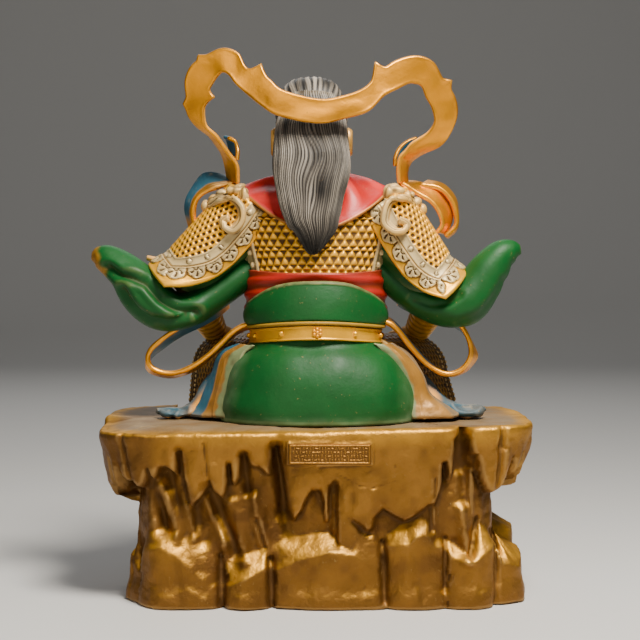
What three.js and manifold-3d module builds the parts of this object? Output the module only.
// A seated guardian deity in painted cast bronze, on a gilded rock plinth, with a scarf arching behind it.
// Millimetres, +Z up. The figure looks along -Y: its back faces +Y and its own left hand is on the +X side.
// The origin is on the plinth's underside, below the middle of the figure.
import * as THREE from "three";
import { mergeVertices } from "three/addons/utils/BufferGeometryUtils.js";
import Module from "manifold-3d";

const wasm = await Module();
wasm.setup();

// Driving dimensions
const PLINTH_HEIGHT = 128.8;
const PLINTH_HALF_WIDTH = 163;
const PLINTH_BACK = 85;
const PLINTH_FRONT = 96;
const NICHE_HALF_WIDTH = 112;
const NICHE_WALL = 24;
const LEDGE_HEIGHT = 58;
const SEAM = 0.3;
const SEAT = PLINTH_HEIGHT + SEAM;
const SOLE = LEDGE_HEIGHT + SEAM;
const SHOULDER_SEAT = 303;
const SCARF_THICKNESS = 3.4;
const LOOP_THICKNESS = 4.4;
const GUARD_RADIUS = 26.5;
const GUARD_DEPTH = 7;
const ARM_RADIUS = 22;
const SHOULDER = [48, 2, 281];
const ARM_LENGTH = 68;

const blend = (a, b, t) => a + (b - a) * t;
const eased = (low, high, v) => THREE.MathUtils.smoothstep(v, low, high);
const radians = THREE.MathUtils.degToRad;

// A smooth curve through rows of numbers, where t runs from 0 at the first row to 1 at the last.
function along(rows, t) {
  const last = rows.length - 1;
  const reach = THREE.MathUtils.clamp(t, 0, 1) * last;
  const i = Math.min(Math.floor(reach), last - 1);
  const f = reach - i;
  return rows[i].map((p1, k) => {
    const p2 = rows[i + 1][k];
    const p0 = i > 0 ? rows[i - 1][k] : 2 * p1 - p2;
    const p3 = i + 2 <= last ? rows[i + 2][k] : 2 * p2 - p1;
    const start = (p2 - p0) / 2;
    const end = (p3 - p1) / 2;
    const rise = p2 - p1;
    return p1 + f * (start + f * (3 * rise - 2 * start - end + f * (start + end - 2 * rise)));
  });
}

// Moves every vertex of a primitive, welds the seams and returns the closed solid.
function shaped(geometry, move) {
  const position = geometry.getAttribute("position");
  const p = new THREE.Vector3();
  for (let i = 0; i < position.count; i++) {
    p.fromBufferAttribute(position, i);
    position.setXYZ(i, ...move(p));
  }
  geometry.deleteAttribute("normal");
  geometry.deleteAttribute("uv");
  const welded = mergeVertices(geometry, 1e-4);
  const made = new wasm.Manifold(
    new wasm.Mesh({
      numProp: 3,
      vertProperties: welded.getAttribute("position").array,
      triVerts: new Uint32Array(welded.index.array),
    }),
  );
  if (made.volume() <= 0) throw new Error("a form is inside out");
  return made;
}

const joined = (forms) => forms.reduce((whole, form) => whole.add(form));
const bothSides = (form) => joined([form(1), form(-1)]);

// An oval body along stations [x, y, z, half width, half depth]. Its width follows the direction across.
// Power 2 gives an ellipse and more gives a squarer section; carve scales the section by angle and place.
function skin(stations, { around = 14, steps = 8, across = [1, 0, 0], power = 2, carve } = {}) {
  const reference = new THREE.Vector3(...across);
  const nudge = 0.01;
  const at = (t) => new THREE.Vector3(...along(stations, t).slice(0, 3));
  const squared = (v) => Math.sign(v) * Math.abs(v) ** (2 / power);
  return shaped(new THREE.CylinderGeometry(1, 1, 1, around, steps), (p) => {
    const t = p.y + 0.5;
    const centre = at(t);
    if (Math.hypot(p.x, p.z) < 0.5) return centre;
    const [wide, deep] = along(stations, t).slice(3);
    const tangent = at(Math.min(t + nudge, 1)).sub(at(Math.max(t - nudge, 0))).normalize();
    const side = reference.clone().addScaledVector(tangent, -reference.dot(tangent)).normalize();
    const other = side.clone().cross(tangent);
    const scale = carve ? carve(Math.atan2(p.z, p.x), t) : 1;
    centre.addScaledVector(side, wide * squared(p.x) * scale);
    return centre.addScaledVector(other, deep * squared(p.z) * scale);
  });
}

// A body standing round the waist or neck. place(turn, v) gives the point at a turn from the middle of the
// back towards the figure's left, from v = 0 at the bottom to 1 at the top.
function drum(place, around, rows) {
  return shaped(new THREE.CylinderGeometry(1, 1, 1, around, rows), (p) => {
    const v = p.y + 0.5;
    if (Math.hypot(p.x, p.z) > 0.5) return place(Math.atan2(p.x, -p.z), v);
    const ring = [0, Math.PI].map((turn) => place(turn, v));
    return [0, 1, 2].map((k) => (ring[0][k] + ring[1][k]) / 2);
  });
}

// A plate of even thickness over surface(u, v), which gives a point for u and v from 0 to 1.
function plate(surface, thickness, across, lengthwise) {
  const nudge = 0.01;
  const within = (f) => THREE.MathUtils.clamp(f, 0, 1);
  const at = (u, v) => new THREE.Vector3(...surface(within(u), within(v)));
  return shaped(new THREE.BoxGeometry(1, 1, 1, across, lengthwise, 1), (p) => {
    const [u, v] = [p.x + 0.5, p.y + 0.5];
    const du = at(u + nudge, v).sub(at(u - nudge, v));
    const dv = at(u, v + nudge).sub(at(u, v - nudge));
    return at(u, v).addScaledVector(du.cross(dv).normalize(), p.z * thickness);
  });
}

// A ribbon between two edges, each row holding a point of one edge and then the point across from it.
function ribbon(rows, thickness, steps) {
  return plate((u, v) => {
    const row = along(rows, v);
    return [0, 1, 2].map((k) => blend(row[k], row[k + 3], u));
  }, thickness, 1, steps);
}

function egg(centre, half, around = 12, rows = 8) {
  const ball = new THREE.SphereGeometry(1, around, rows);
  return shaped(ball, (p) => p.toArray().map((v, k) => centre[k] + v * half[k]));
}

function block(low, high) {
  const box = new THREE.BoxGeometry(1, 1, 1);
  return shaped(box, (p) => p.toArray().map((v, k) => blend(low[k], high[k], v + 0.5)));
}

// Plinth
// Tongues of rock under the top slab: [distance from the middle of the back, half width, lowest height].
const TONGUES = [
  [141, 9, 91], [126, 8, 87], [113, 7, 98], [103, 7, 100], [86, 11, 73], [67, 9.5, 80], [56, 5, 90],
  [40, 8, 100], [15.5, 12, 62], [-4, 17, 88], [-23.5, 9, 47], [-43, 17, 63], [-64, 17, 64], [-83, 11, 74],
  [-124, 14, 79], [-143, 10, 79],
];
// Upper limit of the lower rocks: [distance from the middle of the back, height].
const LOWER_ROCKS = [
  [-170, 40], [-144, 37], [-135, 56], [-124, 57], [-119, 48], [-113, 33], [-97, 38], [-84, 47], [-79, 64],
  [-67, 66], [-55, 58], [-45, 46], [-31, 37], [-20, 40], [-15, 50], [10, 48], [33, 47], [45, 40],
  [56, 33], [70, 43], [87, 48], [102, 53], [115, 57], [129, 52], [134, 37], [170, 40],
];
const CREASES = [68, 31, -50, -92, 121, -128];
const SLAB_EDGE = 6;

function heightAt(line, p) {
  const i = THREE.MathUtils.clamp(line.findIndex(([at]) => at > p), 1, line.length - 1);
  const [[p0, z0], [p1, z1]] = [line[i - 1], line[i]];
  return blend(z0, z1, THREE.MathUtils.clamp((p - p0) / (p1 - p0), 0, 1));
}

// How far the rock lies inside the slab's outline at distance p along it, place x and height z.
function inset(p, x, z) {
  const onBack = Math.abs(p) < PLINTH_HALF_WIDTH - 8;
  const sideways = eased(112, 156, Math.abs(x));
  const ripple = Math.sin(p * 0.21) + 0.6 * Math.sin(p * 0.093 + 1.7);
  let hang = onBack ? PLINTH_HEIGHT - SLAB_EDGE : (x > 0 ? 92 : 84) + 10 * ripple;
  for (const [at, half, low] of onBack ? TONGUES : []) {
    const off = Math.abs((p - at) / half);
    if (off < 1) hang = Math.min(hang, blend(low, PLINTH_HEIGHT - SLAB_EDGE, off ** 4));
  }
  const rise = onBack ? heightAt(LOWER_ROCKS, p) : 46 + 9 * Math.sin(p * 0.047 + 0.6);
  const recess = 13 + 18 * sideways + 2 * ripple;
  const rock = 2 + (x > 0 ? 21 : 7) * sideways + 2.5 * Math.sin(p * 0.06);
  const lean = 0.16 * sideways * (PLINTH_HEIGHT - z);
  const slab = eased(hang - 6, hang + 2, z);
  const low = 1 - eased(rise - 15, rise + 1, z);
  const crease = CREASES.reduce((sum, at) => sum + 5 * Math.exp(-(((p - at) / 4) ** 2)), 0);
  const face = blend(recess, rock, low) + crease * low;
  return blend(face, lean + 0.6 * Math.max(ripple, 0), slab) + 3 * eased(5, 20, z);
}

// The slab's outline from the middle of the front, turning towards the figure's left.
function slabOutline() {
  const corner = 5;
  const sides = 720;
  const points = Array.from({ length: sides + 1 }, (_, i) => {
    const [s, c] = [Math.sin((i / sides) * 2 * Math.PI), -Math.cos((i / sides) * 2 * Math.PI)];
    const deep = c > 0 ? PLINTH_BACK : PLINTH_FRONT;
    const reach = (Math.abs(s / PLINTH_HALF_WIDTH) ** corner + Math.abs(c / deep) ** corner) ** (-1 / corner);
    return new THREE.Vector2(reach * s, reach * c);
  });
  return new THREE.Path(points);
}

function plinth() {
  const around = 84;
  const heights = [0, 5, 20, 34, 45, 55, 66, 78, 90, 102, 122, PLINTH_HEIGHT - 2, PLINTH_HEIGHT];
  const rows = heights.length - 1;
  const outline = slabOutline();
  const length = outline.getLength();
  const crowding = 0.45;
  const near = 0.006;
  const pointAt = (f) => outline.getPointAt((f + 1) % 1);
  const stations = Array.from({ length: around }, (_, i) => {
    const f = i / around + (crowding * Math.sin((2 * Math.PI * i) / around)) / (2 * Math.PI);
    const run = pointAt(f + near).sub(pointAt(f - near)).normalize();
    return { at: pointAt(f), run, p: (0.5 - f) * length };
  });
  const rock = shaped(new THREE.CylinderGeometry(1, 1, 1, around, rows), (v) => {
    const z = heights[Math.round((v.y + 0.5) * rows)];
    if (Math.hypot(v.x, v.z) < 0.5) return [0, 0, z];
    const i = (Math.round((Math.atan2(v.x, v.z) / (2 * Math.PI)) * around) + around) % around;
    const { at, run, p } = stations[i];
    const deep = inset(p, at.x, z) + (z === PLINTH_HEIGHT ? 2 : 0);
    return [at.x - run.y * deep, at.y + run.x * deep, z];
  });
  const depth = PLINTH_FRONT - NICHE_WALL;
  const niche = skin(
    [LEDGE_HEIGHT, PLINTH_HEIGHT + 10].map((z) => [0, -PLINTH_FRONT, z, NICHE_HALF_WIDTH, depth]),
    { around: 28, steps: 1, power: 4 },
  );
  return rock.subtract(niche);
}

// Torso, seat and waist
const torso = () =>
  skin(
    [
      [0, 4, 186, 50, 44], [0, 3, 212, 50, 41], [0, 2, 238, 50, 38], [0, 1, 262, 55, 39],
      [0, 1, 280, 57, 37], [0, 2, 292, 50, 31], [0, 3, 302, 30, 24], [1, 3, 318, 16, 16],
    ],
    { around: 16, steps: 7 },
  );

const seat = () =>
  skin(
    [
      [0, 14, SEAT, 70, 56], [0, 14, 140, 73, 57], [0, 13, 152, 73.5, 57], [0, 12, 166, 71, 54],
      [0, 10, 177, 64, 49], [0, 8, 186, 57, 46], [0, 6, 196, 51, 44],
    ],
    { around: 24, steps: 6, power: 2.3 },
  );

// A band round the waist that dips towards the front.
function waistband({ bottom, top, wide, deep, dip }) {
  return drum((turn, v) => {
    const fall = (dip * (1 - Math.cos(turn))) / 2;
    return [wide * Math.sin(turn), 2 + deep * Math.cos(turn), blend(bottom, top, v) - fall];
  }, 20, 1);
}
const belt = () => waistband({ bottom: 188, top: 200, wide: 56.5, deep: 53, dip: 14 });

function backBand() {
  const reach = radians(104);
  return plate((u, v) => {
    const turn = blend(-reach, reach, u);
    const top = 206 + 24 * Math.max(Math.cos(turn), 0) ** 1.4;
    const swell = 1 + 0.03 * Math.sin(Math.PI * v);
    const wide = blend(52.5, 50.5, v) * swell;
    const deep = blend(48, 42, v) * swell;
    return [wide * Math.sin(turn), 3 + deep * Math.cos(turn), blend(196, top, v)];
  }, 10, 14, 2);
}

function collar() {
  const hem = (turn) => 300 - (Math.cos(turn) > 0 ? 32 : 28) * Math.abs(Math.cos(turn)) ** 2.2;
  return drum((turn, v) => {
    const wide = blend(60, 20, v ** 0.85);
    const deep = blend(41, 19, v ** 1.3);
    const z = blend(hem(turn), 313, v);
    return [wide * Math.sin(turn) + 1.5 * v, 2 + deep * Math.cos(turn), z];
  }, 20, 2);
}

// Arms, guards, sleeves and hands. side is 1 for the figure's left and -1 for its right.
// A point beside the upper arm: s along its axis from the shoulder, turn from its outer line to the back.
function besideArm(side, s, turn, radius) {
  const [across, down] = side > 0 ? [0.67, 0.74] : [0.54, 0.84];
  const out = [down, 0, across];
  const run = [across, 0.06, -down];
  const [c, b] = [Math.cos(turn) * radius, Math.sin(turn) * radius];
  const [x, y, z] = SHOULDER.map((v, k) => v + run[k] * s + out[k] * c);
  return [side * x, y + b, z];
}

const upperArm = (side, radius = ARM_RADIUS) =>
  skin(
    [-6, 20, 44, ARM_LENGTH].map((s) => [...besideArm(side, s, 0, 0), radius, radius]),
    { around: 10, steps: 2, across: [0, 1, 0] },
  );

const shoulderBall = (side, grow = 0) => egg([side * 61, 3, 286], [15 + grow, 20 + grow, 20 + grow], 8, 6);

function guard(side, grow = 0) {
  const front = radians(-112);
  return plate((u, v) => {
    const back = radians((side > 0 ? 120 : 108) - (side > 0 ? 54 : 34) * v ** 4);
    const turn = side > 0 ? blend(front, back, u) : blend(back, front, u);
    const end = 76 + 6 * Math.sin(turn) ** 2;
    const flare = 5 * eased(0.75, 1, v);
    return besideArm(side, blend(-6, end, v), turn, GUARD_RADIUS - GUARD_DEPTH / 2 + flare);
  }, GUARD_DEPTH + 2 * grow, 8, 4);
}

const guardTip = (side) =>
  skin(
    [0, 1, 2].map((i) => [...besideArm(side, 68 + 3 * i, 0, 24 + 6 * i), 12 - 4 * i, 3 - i * 0.7]),
    { around: 5, steps: 1, across: [0, 1, 0] },
  );

// The long sleeve ends stream outwards and back, with two deep folds along them.
const SLEEVES = {
  1: [
    [60, 4, 250, 13, 15], [70, 5, 231, 17, 17], [88, 8, 216, 20, 18], [108, 10, 210, 21, 18],
    [125, 12, 219, 24, 17], [141, 12, 236, 18, 15], [154, 11, 246, 11, 11], [163, 10, 249.5, 7.5, 8],
    [166.5, 10, 249.5, 2.5, 3],
  ],
  "-1": [
    [-60, 4, 250, 13, 15], [-69, 5, 229, 17, 17], [-86, 8, 213, 19, 18], [-104, 10, 208, 20, 18],
    [-119, 11, 218, 17, 16], [-128, 11, 231, 15, 14], [-138, 11, 243, 13.6, 12], [-147, 10, 251, 9, 9],
    [-152, 10, 254, 3, 3.5],
  ],
};
const sleeve = (side) =>
  skin(SLEEVES[side], {
    around: 12,
    steps: 9,
    across: [0, 1, 0],
    carve: (angle, t) => 1 - 0.13 * Math.sin(Math.PI * t) * Math.max(0, Math.cos(3 * angle + 2 * t)) ** 2,
  });

const forearm = (side) =>
  skin([[side * 90, 11, 225, 14, 14], [side * 86, -10, 210, 12.5, 12], [side * 78, -33, 191, 9, 8.5]], {
    around: 10,
    steps: 2,
  });

// Each hand lies on its thigh with the fingers together, parted by shallow grooves.
function hand(side) {
  const rows = [
    [78, -30, 191, 8, 7], [76, -41, 189.5, 12, 6.5], [74, -54, 187.5, 13, 5.5], [72, -70, 178, 11, 4.5],
  ];
  const mitten = skin(rows.map(([x, ...rest]) => [side * x, ...rest]), {
    around: 12,
    steps: 4,
    power: 2.6,
    carve: (angle, t) => 1 + 0.06 * t * Math.cos(6 * angle),
  });
  const thumb = skin(
    [[side * 68, -38, 189, 4, 4.5], [side * 60, -47, 187, 3.6, 4], [side * 56, -55, 184, 2.6, 3]],
    { around: 6, steps: 2 },
  );
  return mitten.add(thumb);
}

// Lower scarf loops: the near edge of each as [x, z], from under the sleeve out and back to the waist.
const LOOPS = {
  1: [
    [62, 217], [72, 209], [82, 203.5], [97, 197.6], [112, 188.7], [123, 179.7], [125.3, 172.3],
    [121.6, 164.9], [112, 161.1], [97, 162.6], [82, 170.8], [69.6, 182.7], [59.9, 194.6], [50, 198],
  ],
  "-1": [
    [-60, 223], [-70, 216.9], [-84.8, 210.9], [-99.7, 205.8], [-111, 196], [-118, 183.5], [-117.6, 172.3],
    [-108.7, 163.4], [-96, 162], [-81, 167.8], [-68.6, 181.2], [-60.4, 194.6], [-50, 200],
  ],
};
function lowerLoop(side) {
  const nearEdge = 14;
  const width = 18;
  const rows = LOOPS[side].map(([x, z], i, { length }) => {
    const upper = 1 - eased(0.3, 0.55, i / (length - 1));
    const fall = side > 0 ? blend(0, -9, upper) : blend(3, -7, upper);
    return [x, nearEdge, z, x + side * 2, nearEdge - width, z + fall];
  });
  return ribbon(rows, LOOP_THICKNESS, 16);
}

// Head, hair and beard
const HEAD_SHIFT = 3;
function head() {
  const hair = egg([HEAD_SHIFT, 3, 348], [26, 31, 33.5], 14, 9);
  const face = egg([HEAD_SHIFT, -6, 343], [22.5, 25, 29], 12, 8);
  const nose = skin(
    [[HEAD_SHIFT, -26, 333, 4.5, 3], [HEAD_SHIFT, -32, 336, 4.6, 4], [HEAD_SHIFT, -27, 350, 2, 2]],
    { around: 6, steps: 2 },
  );
  const ears = bothSides((side) => egg([HEAD_SHIFT + side * 26, -2, 334], [3.5, 6, 10.5], 6, 4));
  const neck = skin([[0, 3, 300, 16, 15], [HEAD_SHIFT, 0, 330, 14, 14]], { around: 10, steps: 1 });
  return joined([hair, face, nose, ears, neck]);
}

const hairFall = () =>
  skin(
    [
      [-1, 45, 250, 2, 2], [-1, 46, 264, 13.5, 5.5], [0, 45.5, 281, 21.5, 7], [1, 42.5, 299, 26, 8],
      [2, 38, 318, 27, 9], [3, 31, 340, 26, 10], [3, 22, 360, 20, 11],
    ],
    { around: 20, steps: 7, power: 2.3, carve: (angle) => 1 + 0.035 * Math.cos(10 * angle) },
  );

const beard = () =>
  skin(
    [
      [3, -47, 262, 2, 1.6], [3, -44, 276, 8, 4.5], [3, -38, 296, 13, 7], [3, -28, 316, 15, 9],
      [3, -20, 330, 13, 8],
    ],
    { around: 12, steps: 4, carve: (angle) => 1 + 0.05 * Math.cos(6 * angle) },
  );

// Legs, boots and skirts
const thigh = (side) =>
  skin(
    [[24, 4, 158, 30, 29], [52, -28, 160, 29, 26], [74, -50, 158, 25, 24], [80, -62, 155, 14, 14]].map(
      ([x, ...rest]) => [side * x, ...rest],
    ),
    { around: 12, steps: 4 },
  );

const shin = (side) =>
  skin(
    [[66, -50, 62, 12, 14], [68, -50, 84, 13, 15], [72, -51, 118, 17, 18], [75, -52, 152, 19, 21]].map(
      ([x, ...rest]) => [side * x, ...rest],
    ),
    { around: 10, steps: 3 },
  );

function boot(side) {
  const rows = [
    [66, -36, 68, 10, 10], [66, -52, 69, 12.5, 12], [67, -72, 66, 12.5, 9], [68, -86, 66, 9.5, 8.5],
    [68.5, -92, 72, 5, 4],
  ];
  return skin(rows.map(([x, ...rest]) => [side * x, ...rest]), { around: 10, steps: 4, power: 2.5 });
}

// The armour skirt lies over each thigh and hangs down its outer side.
function armourSkirt(side) {
  const [drop, reach] = side > 0 ? [6, 0.6] : [16, 0.82];
  return plate((u, v) => {
    const turn = blend(radians(-35), radians(98), side > 0 ? u : 1 - u);
    const [x, y, z] = along([[38, 2, 160], [60, -24, 161], [78, -46, 159]], v);
    const radius = 26.5 - 2 * v;
    const skirt = eased(radians(60), radians(98), turn) * drop;
    const [out, up] = [radius * Math.sin(turn), radius * Math.cos(turn)];
    return [side * (x + out * reach + skirt * 0.4), y + out * 0.5, z + up - skirt];
  }, 8, 5, 2);
}

const robeFront = () =>
  skin([[0, -38, 63, 44, 9], [0, -37, 90, 43, 9], [0, -35, 122, 46, 10], [0, -26, 152, 50, 18]], {
    around: 20,
    steps: 3,
    power: 3,
    carve: (angle, t) => 1 + 0.05 * (1 - t) * Math.cos(10 * angle),
  });

// The apron's rows: [y, z, half width].
const APRON = [[-45, 196, 20], [-53, 172, 22], [-52, 130, 22], [-51, 96, 20], [-50, 78, 8]];
const apron = () =>
  plate((u, v) => {
    const [y, z, half] = along(APRON, v);
    return [blend(-half, half, u), y + 2 * Math.cos(4 * Math.PI * u) * v, z];
  }, 4, 2, 5);

// The robe's margins run down each flank and spread on the rock in a curled train.
const TRAINS = {
  1: [
    [58, -2, 170, 12, 8], [76, -4, 152, 10, 9], [86, 0, 138, 12, 8], [98, 6, 133, 13, 4.2],
    [110, 10, 133.5, 8, 3.4], [116, 12, 135, 2, 1.5],
  ],
  "-1": [
    [-58, -2, 170, 12, 8], [-78, -4, 152, 11, 9], [-92, 2, 138, 14, 8], [-106, 8, 133.5, 14, 4.5],
    [-119, 12, 134, 9, 4], [-126, 12, 136, 2, 1.5],
  ],
};
const train = (side) => skin(TRAINS[side], { around: 8, steps: 7, across: [0, 1, 0] });

function chest() {
  const plates = bothSides((side) => egg([side * 23, -33, 268], [17, 8, 17], 10, 5));
  const boss = egg([0, -42, 208], [19, 11, 15], 10, 5);
  const knot = egg([0, -41, 288], [9, 6, 6], 8, 4);
  return joined([plates, boss, knot]);
}

// The forms that a scarf foot or curl comes near, grown by the gap that it keeps.
const shoulderForms = (side, grow) =>
  joined([shoulderBall(side, grow), guard(side, grow), upperArm(side, ARM_RADIUS + grow)]);

const above = (z) => block([-250, -250, z], [250, 250, 500]);

function figure() {
  const limbs = bothSides((side) =>
    joined([
      shoulderBall(side).subtract(above(SHOULDER_SEAT)), upperArm(side), guard(side), guardTip(side),
      sleeve(side), forearm(side), hand(side), lowerLoop(side), thigh(side), shin(side), boot(side),
      armourSkirt(side), train(side),
    ]),
  );
  const body = [torso(), seat(), backBand(), belt(), collar(), head(), hairFall(), beard(), chest()];
  const whole = joined([...body, robeFront(), apron(), limbs]);
  const seatBlock = block([-250, -NICHE_WALL - 2, -10], [250, 250, SEAT]);
  const ledge = block([-250, -250, -10], [250, 250, SOLE]);
  return whole.subtract(seatBlock).subtract(ledge);
}

// Upper scarf: [outer x, y, z, inner x, y, z] from the left shoulder, behind the head, to the right shoulder.
const SCARF = [
  [65, -5, 303, 57.5, 12, 302], [68.8, -4, 319, 57, 14, 316], [81, 2, 336, 66, 18, 331],
  [93.5, 14, 350, 81.4, 22, 347.6], [94.9, 22, 366.5, 79.2, 26, 364.7], [95.2, 26, 377.7, 76.2, 28, 371.7],
  [90.5, 30, 387.4, 73, 30, 377.3], [81.6, 32, 393.6, 70, 33, 380.6], [67.6, 35, 399.7, 66.9, 36, 382.4],
  [56, 37, 395.9, 62.4, 38, 380],
  [49.4, 40, 384.8, 55.8, 41, 371.8], [34, 45, 377.7, 38.4, 46, 357], [23.3, 48, 368, 25.4, 49, 349.6],
  [-1.8, 50, 361.5, -1.8, 50, 344.5], [-19.6, 49, 363.8, -21, 49, 348], [-34.7, 47, 369.7, -37.6, 47, 353.3],
  [-44.8, 44, 380, -49, 44, 364.3], [-57.2, 40, 389.8, -60, 40, 370.4], [-72.5, 36, 394, -69.7, 36, 375.5],
  [-85, 33, 390, -76.4, 33, 373.3], [-92.6, 30, 378, -80.3, 30, 365], [-101.7, 26, 365.4, -84.8, 28, 357.2],
  [-103.6, 22, 352.7, -86.8, 26, 347.3], [-98.3, 16, 338.6, -82.4, 22, 339.6],
  [-87.8, 8, 329, -72.2, 20, 331.7],
  [-75, 2, 325, -63.6, 18, 322], [-69.8, -5, 303, -59.8, 12, 302],
];
// Curls: the scarf's ends roll outwards over each shoulder.
const CURLS = [
  [
    [60, 6, 304, 62, -8, 306], [72.7, 6, 301, 81, -8, 312], [84, 6, 296.3, 91.7, -8, 306.7],
    [91.4, 6, 287.4, 98.6, -8, 295.4], [94.4, 6, 276.3, 101, -8, 284], [95.2, 6, 267.4, 99.4, -8, 270.6],
  ],
  [
    [-61, 6, 305, -63, -8, 306], [-76, 6, 296, -82.3, -8, 303.7], [-86.6, 6, 291, -93.6, -8, 302],
    [-94.8, 6, 286, -102.7, -8, 291.6], [-99.3, 6, 276.3, -105.8, -8, 280.4],
    [-97.9, 6, 266, -102.8, -8, 267.6],
  ],
];
// Pointed tongues of cloth on the scarf's edge: [root x, y, z, tip x, z, half width].
const FLAMES = [
  [43, 42, 376, 38.5, 386.5, 6], [-48, 43, 381, -42.4, 388.5, 6], [83, 31, 387, 83.7, 394.7, 5],
  [-93, 29, 371, -98.8, 379.5, 5], [83, 26, 360, 75, 365, 5],
];
// Small leaves where the cloth folds back on itself above each shoulder.
const FOLDS = [
  [[57, 14, 320, 64, -2, 322], [57, 10, 330, 66, -3, 332], [61, 6, 337, 68, -2, 338]],
  [
    [-60, 12, 314, -65, -2, 314], [-60, 9, 322, -65, -1, 320], [-66, 6, 332, -71, -1, 328],
    [-74, 5, 338, -77, 1, 334],
  ],
];

function scarf() {
  const hoop = ribbon(SCARF, SCARF_THICKNESS, 46);
  const curls = CURLS.map((rows) => ribbon(rows, SCARF_THICKNESS, 10));
  const flames = FLAMES.map(([x, y, z, tipX, tipZ, half]) =>
    skin([[x, y, z, half, 2], [tipX, y, tipZ, 0.6, 0.8]], { around: 4, steps: 1 }),
  );
  const belowFeet = block([-74, -250, 200], [74, 250, SHOULDER_SEAT + SEAM]);
  const clearance = bothSides((side) => shoulderForms(side, 2 * SEAM));
  const folds = FOLDS.map((rows) => ribbon(rows, SCARF_THICKNESS, 3));
  return joined([hoop, ...curls, ...flames, ...folds]).subtract(belowFeet).subtract(clearance);
}

// One closed body: a pocket sealed inside overlapping forms is filled, because the casting is solid there.
function oneBody(form) {
  const bodies = form.decompose().sort((a, b) => b.volume() - a.volume());
  const loose = bodies.slice(1).filter((body) => body.volume() > 0);
  const places = JSON.stringify(loose.map((body) => body.boundingBox()));
  if (loose.length) throw new Error(`loose bodies at ${places}`);
  return bodies[0];
}

function mesh(name, form, material) {
  const { vertProperties, triVerts, numProp } = oneBody(form).getMesh();
  const geometry = new THREE.BufferGeometry();
  geometry.setAttribute("position", new THREE.BufferAttribute(vertProperties, numProp));
  geometry.setIndex(Array.from(triVerts));
  geometry.computeVertexNormals();
  const made = new THREE.Mesh(geometry, material);
  made.name = name;
  return made;
}

const paint = new THREE.MeshStandardMaterial({ color: 0x1d6b32, roughness: 0.42, metalness: 0.1 });
const gilding = new THREE.MeshStandardMaterial({ color: 0xa87420, roughness: 0.45, metalness: 0.75 });
const ribbonGold = new THREE.MeshStandardMaterial({ color: 0xb98230, roughness: 0.42, metalness: 0.55 });

const statue = new THREE.Group();
statue.add(mesh("plinth", plinth(), gilding));
statue.add(mesh("figure", figure(), paint));
statue.add(mesh("scarf", scarf(), ribbonGold));

export default statue;
